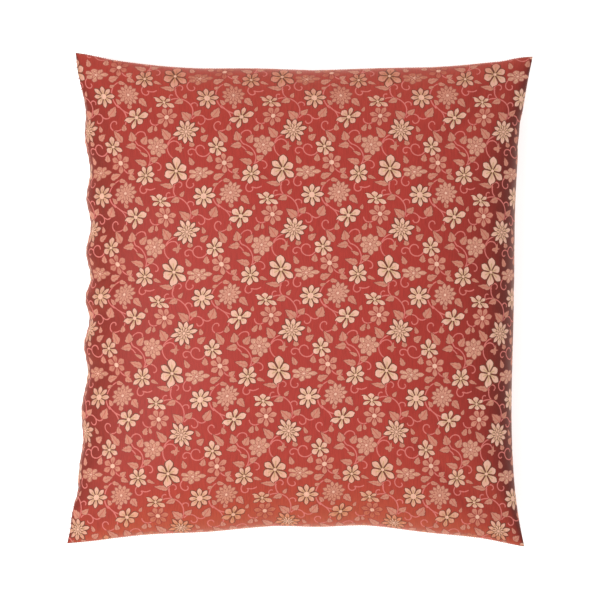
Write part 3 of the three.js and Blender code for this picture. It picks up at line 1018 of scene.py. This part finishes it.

# %% [markdown]
# ### Threads
#
# Where the cloth turns into a seam, painted shade darkens its colour as if the seam's valley lay in
# shade, and short painted shadows of tucks lie across the closing seam, which was gathered by hand.
# Fine streaks run along the cloth, since no two threads are quite alike, and the ribs of the weave give
# a little relief. A satin ground is smooth and a little glossy, and the threads that float on it are
# softer. A sheen makes the cloth paler where it is seen at a low angle.

# %% Painted shade beside the seams
SEAM_REACH = 1.6  # mm
SEAM_SHADE_DARKEST = 0.4
across_cloth, along_cloth, _ = add(tree, "ShaderNodeSeparateXYZ", {0: millimetres}).outputs
past_fold = add(tree, MATH, {0: across_cloth, 1: CLOTH_WIDTH / 2 / MM}, operation="SUBTRACT")
from_fold = add(tree, MATH, {0: past_fold}, operation="ABSOLUTE")
from_closing = add(tree, MATH, {0: CLOTH_WIDTH / MM, 1: from_fold}, operation="SUBTRACT")
from_middle = add(tree, MATH, {0: along_cloth}, operation="ABSOLUTE")
from_end = add(tree, MATH, {0: CLOTH_LENGTH / 2 / MM, 1: from_middle}, operation="SUBTRACT")
from_seam = add(tree, MATH, {0: from_closing, 1: from_end}, operation="MINIMUM")
# Painted shade: the colour darkens over the last few millimetres of cloth before a seam, where its valley
# lies in shade.
painted_seam_shade = add(tree, "ShaderNodeMapRange", {
    "Value": from_seam, "From Max": SEAM_REACH, "To Min": SEAM_SHADE_DARKEST}, interpolation_type="SMOOTHSTEP")
print("seams darken over", SEAM_REACH, "mm")

# %% Painted shadows of the tucks along the closing seam
TUCK_SPACING = 8.0  # mm
TUCK_REACH = 5.0  # mm from the seam
TUCK_SHADOW_DARKEST = 0.5
TUCK_FROM, TUCK_TO = 0.5, 0.62  # of the noise that spreads the tucks
TUCK_DETAIL = 1.0
tuck_noise = add(tree, "ShaderNodeTexNoise",
                 {"W": along_cloth, "Scale": 1 / TUCK_SPACING, "Detail": TUCK_DETAIL}, noise_dimensions="1D")
tuck_shadow_line = add(tree, "ShaderNodeMapRange", {
    "Value": tuck_noise, "From Min": TUCK_FROM, "From Max": TUCK_TO}, interpolation_type="SMOOTHSTEP")
beside_closing = add(tree, "ShaderNodeMapRange", {
    "Value": from_closing, "From Max": TUCK_REACH, "To Min": 1.0, "To Max": 0.0,
}, interpolation_type="SMOOTHSTEP")
tuck = add(tree, MATH, {0: tuck_shadow_line, 1: beside_closing}, operation="MULTIPLY")
# Painted shadow: short dark dashes across the closing seam stand for the shade between its small gathers.
painted_tuck_shadow = add(tree, "ShaderNodeMapRange", {"Value": tuck, "To Min": 1.0, "To Max": TUCK_SHADOW_DARKEST})
painted_seam_and_tuck_shade = add(tree, MATH, {0: painted_seam_shade, 1: painted_tuck_shadow}, operation="MULTIPLY")
print("tucks about", TUCK_SPACING, "mm apart")

# %% Streaks and relief
STREAK_WIDTH, STREAK_LENGTH = 1.3, 14.0  # mm
STREAK_SHADES = (0.88, 1.12)
STREAK_NOISE = (0.3, 0.7)  # the part of the noise that gives these shades
STREAK_DETAIL = 2.0
RIB_SPACING = 1.0  # mm between two ribs, three times the real spacing, so that close views show them
RIB_RELIEF = 0.12 * MM
RIB_SHARE = 0.25  # of the relief, the streaks give the rest
RELIEF_STRENGTH = 0.5
GROUND_ROUGHNESS, FLOAT_ROUGHNESS = 0.5, 0.62
SPECULAR = 0.2
SHEEN, SHEEN_ROUGHNESS = 0.45, 0.38
streak_place = add(tree, "ShaderNodeMapping", {
    "Vector": millimetres, "Scale": (1 / STREAK_WIDTH, 1 / STREAK_LENGTH, 1)}, vector_type="POINT")
streaks = add(tree, "ShaderNodeTexNoise", {"Vector": streak_place, "Scale": 1.0, "Detail": STREAK_DETAIL})
shades = add(tree, "ShaderNodeMapRange", {
    "Value": streaks, "From Min": STREAK_NOISE[0], "From Max": STREAK_NOISE[1],
    "To Min": STREAK_SHADES[0], "To Max": STREAK_SHADES[1],
})
# The streaks' own tones, times the painted shade beside the seams and the painted shadows of the tucks.
streaks_and_painted_shade = add(tree, MATH, {0: shades, 1: painted_seam_and_tuck_shade}, operation="MULTIPLY")
streaked = add(tree, VECTOR_MATH, {0: woven, "Scale": streaks_and_painted_shade}, operation="SCALE")
tree.links.new(result(streaked), shader.inputs["Base Color"])

rib_angle = add(tree, MATH, {0: across_cloth, 1: 2 * math.pi / RIB_SPACING}, operation="MULTIPLY")
rib_wave = add(tree, MATH, {0: rib_angle}, operation="SINE")
rib_height = add(tree, MATH, {0: rib_wave, 1: RIB_SHARE, 2: streaks}, operation="MULTIPLY_ADD")
relief = add(tree, "ShaderNodeBump",
             {"Strength": RELIEF_STRENGTH, "Distance": RIB_RELIEF, "Height": rib_height})
tree.links.new(result(relief), shader.inputs["Normal"])
gloss = add(tree, "ShaderNodeMapRange",
            {"Value": float_mask, "To Min": GROUND_ROUGHNESS, "To Max": FLOAT_ROUGHNESS})
tree.links.new(result(gloss), shader.inputs["Roughness"])
shader.inputs["Specular IOR Level"].default_value = SPECULAR
shader.inputs["Sheen Weight"].default_value = SHEEN
shader.inputs["Sheen Roughness"].default_value = SHEEN_ROUGHNESS
shader.inputs["Sheen Tint"].default_value = linear("#ffcfae")
cover.data.materials.clear()
cover.data.materials.append(brocade)
print("brocade nodes:", len(tree.nodes))

# %% [markdown]
# ## Floor and light
#
# The picture is a plain studio shot on white: soft light from above, a little from the left and from
# the foot, so that the right side falls off into shade. A large area light gives the fall-off, and a
# white surrounding fills the shadows. The floor is matt white paper that glows a little itself, so that
# it stays white as in the picture and shows hardly any shadow.

# %% White floor
FLOOR_HALF = 3.0  # m
FLOOR_ROUGHNESS = 0.9
FLOOR_SPECULAR = 0.1
FLOOR_GLOW = 0.5
floor_mesh = bpy.data.meshes.new("floor")
floor_mesh.from_pydata([(-FLOOR_HALF, -FLOOR_HALF, 0), (FLOOR_HALF, -FLOOR_HALF, 0),
                        (FLOOR_HALF, FLOOR_HALF, 0), (-FLOOR_HALF, FLOOR_HALF, 0)], [], [(0, 1, 2, 3)])
floor = bpy.data.objects.new("floor", floor_mesh)
bpy.context.scene.collection.objects.link(floor)
# Studio paper is matt, so it shows no gloss.
paper, tree, shader = new_material("white_paper")
shader.inputs["Base Color"].default_value = linear("#f6f6f5")
shader.inputs["Roughness"].default_value = FLOOR_ROUGHNESS
shader.inputs["Specular IOR Level"].default_value = FLOOR_SPECULAR
shader.inputs["Emission Color"].default_value = linear("#ffffff")
shader.inputs["Emission Strength"].default_value = FLOOR_GLOW
floor_mesh.materials.append(paper)
print("floor:", 2 * FLOOR_HALF, "m wide")

# %% Light
SURROUNDING = 0.75
KEY_POWER = 24.3  # W
KEY_SIZE = 1.2  # m
KEY_PLACE = (-1.1, -0.32, 1.8)
world = bpy.data.worlds.new("studio")
bpy.context.scene.world = world
world.use_nodes = True
backdrop = world.node_tree.nodes["Background"].inputs
backdrop["Color"].default_value = linear("#ffffff")
backdrop["Strength"].default_value = SURROUNDING
key_data = bpy.data.lights.new("key", "AREA")
key_data.energy = KEY_POWER
key_data.size = KEY_SIZE
key = bpy.data.objects.new("key", key_data)
key.location = KEY_PLACE
key.rotation_euler = (-key.location).to_track_quat("-Z", "Y").to_euler()
bpy.context.scene.collection.objects.link(key)
bpy.context.scene.view_settings.view_transform = "Standard"
print("key light:", KEY_POWER, "W,", round(key.location.length, 2), "m from the cushion")

# %% [markdown]
# ## Hand-over
#
# The cover stands for the solid cushion and rides on its only body, and the stitches ride with it.

# %% Hand the pieces over
for piece in (cover, *stitches.values()):
    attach(piece, "root")
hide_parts("cushion")
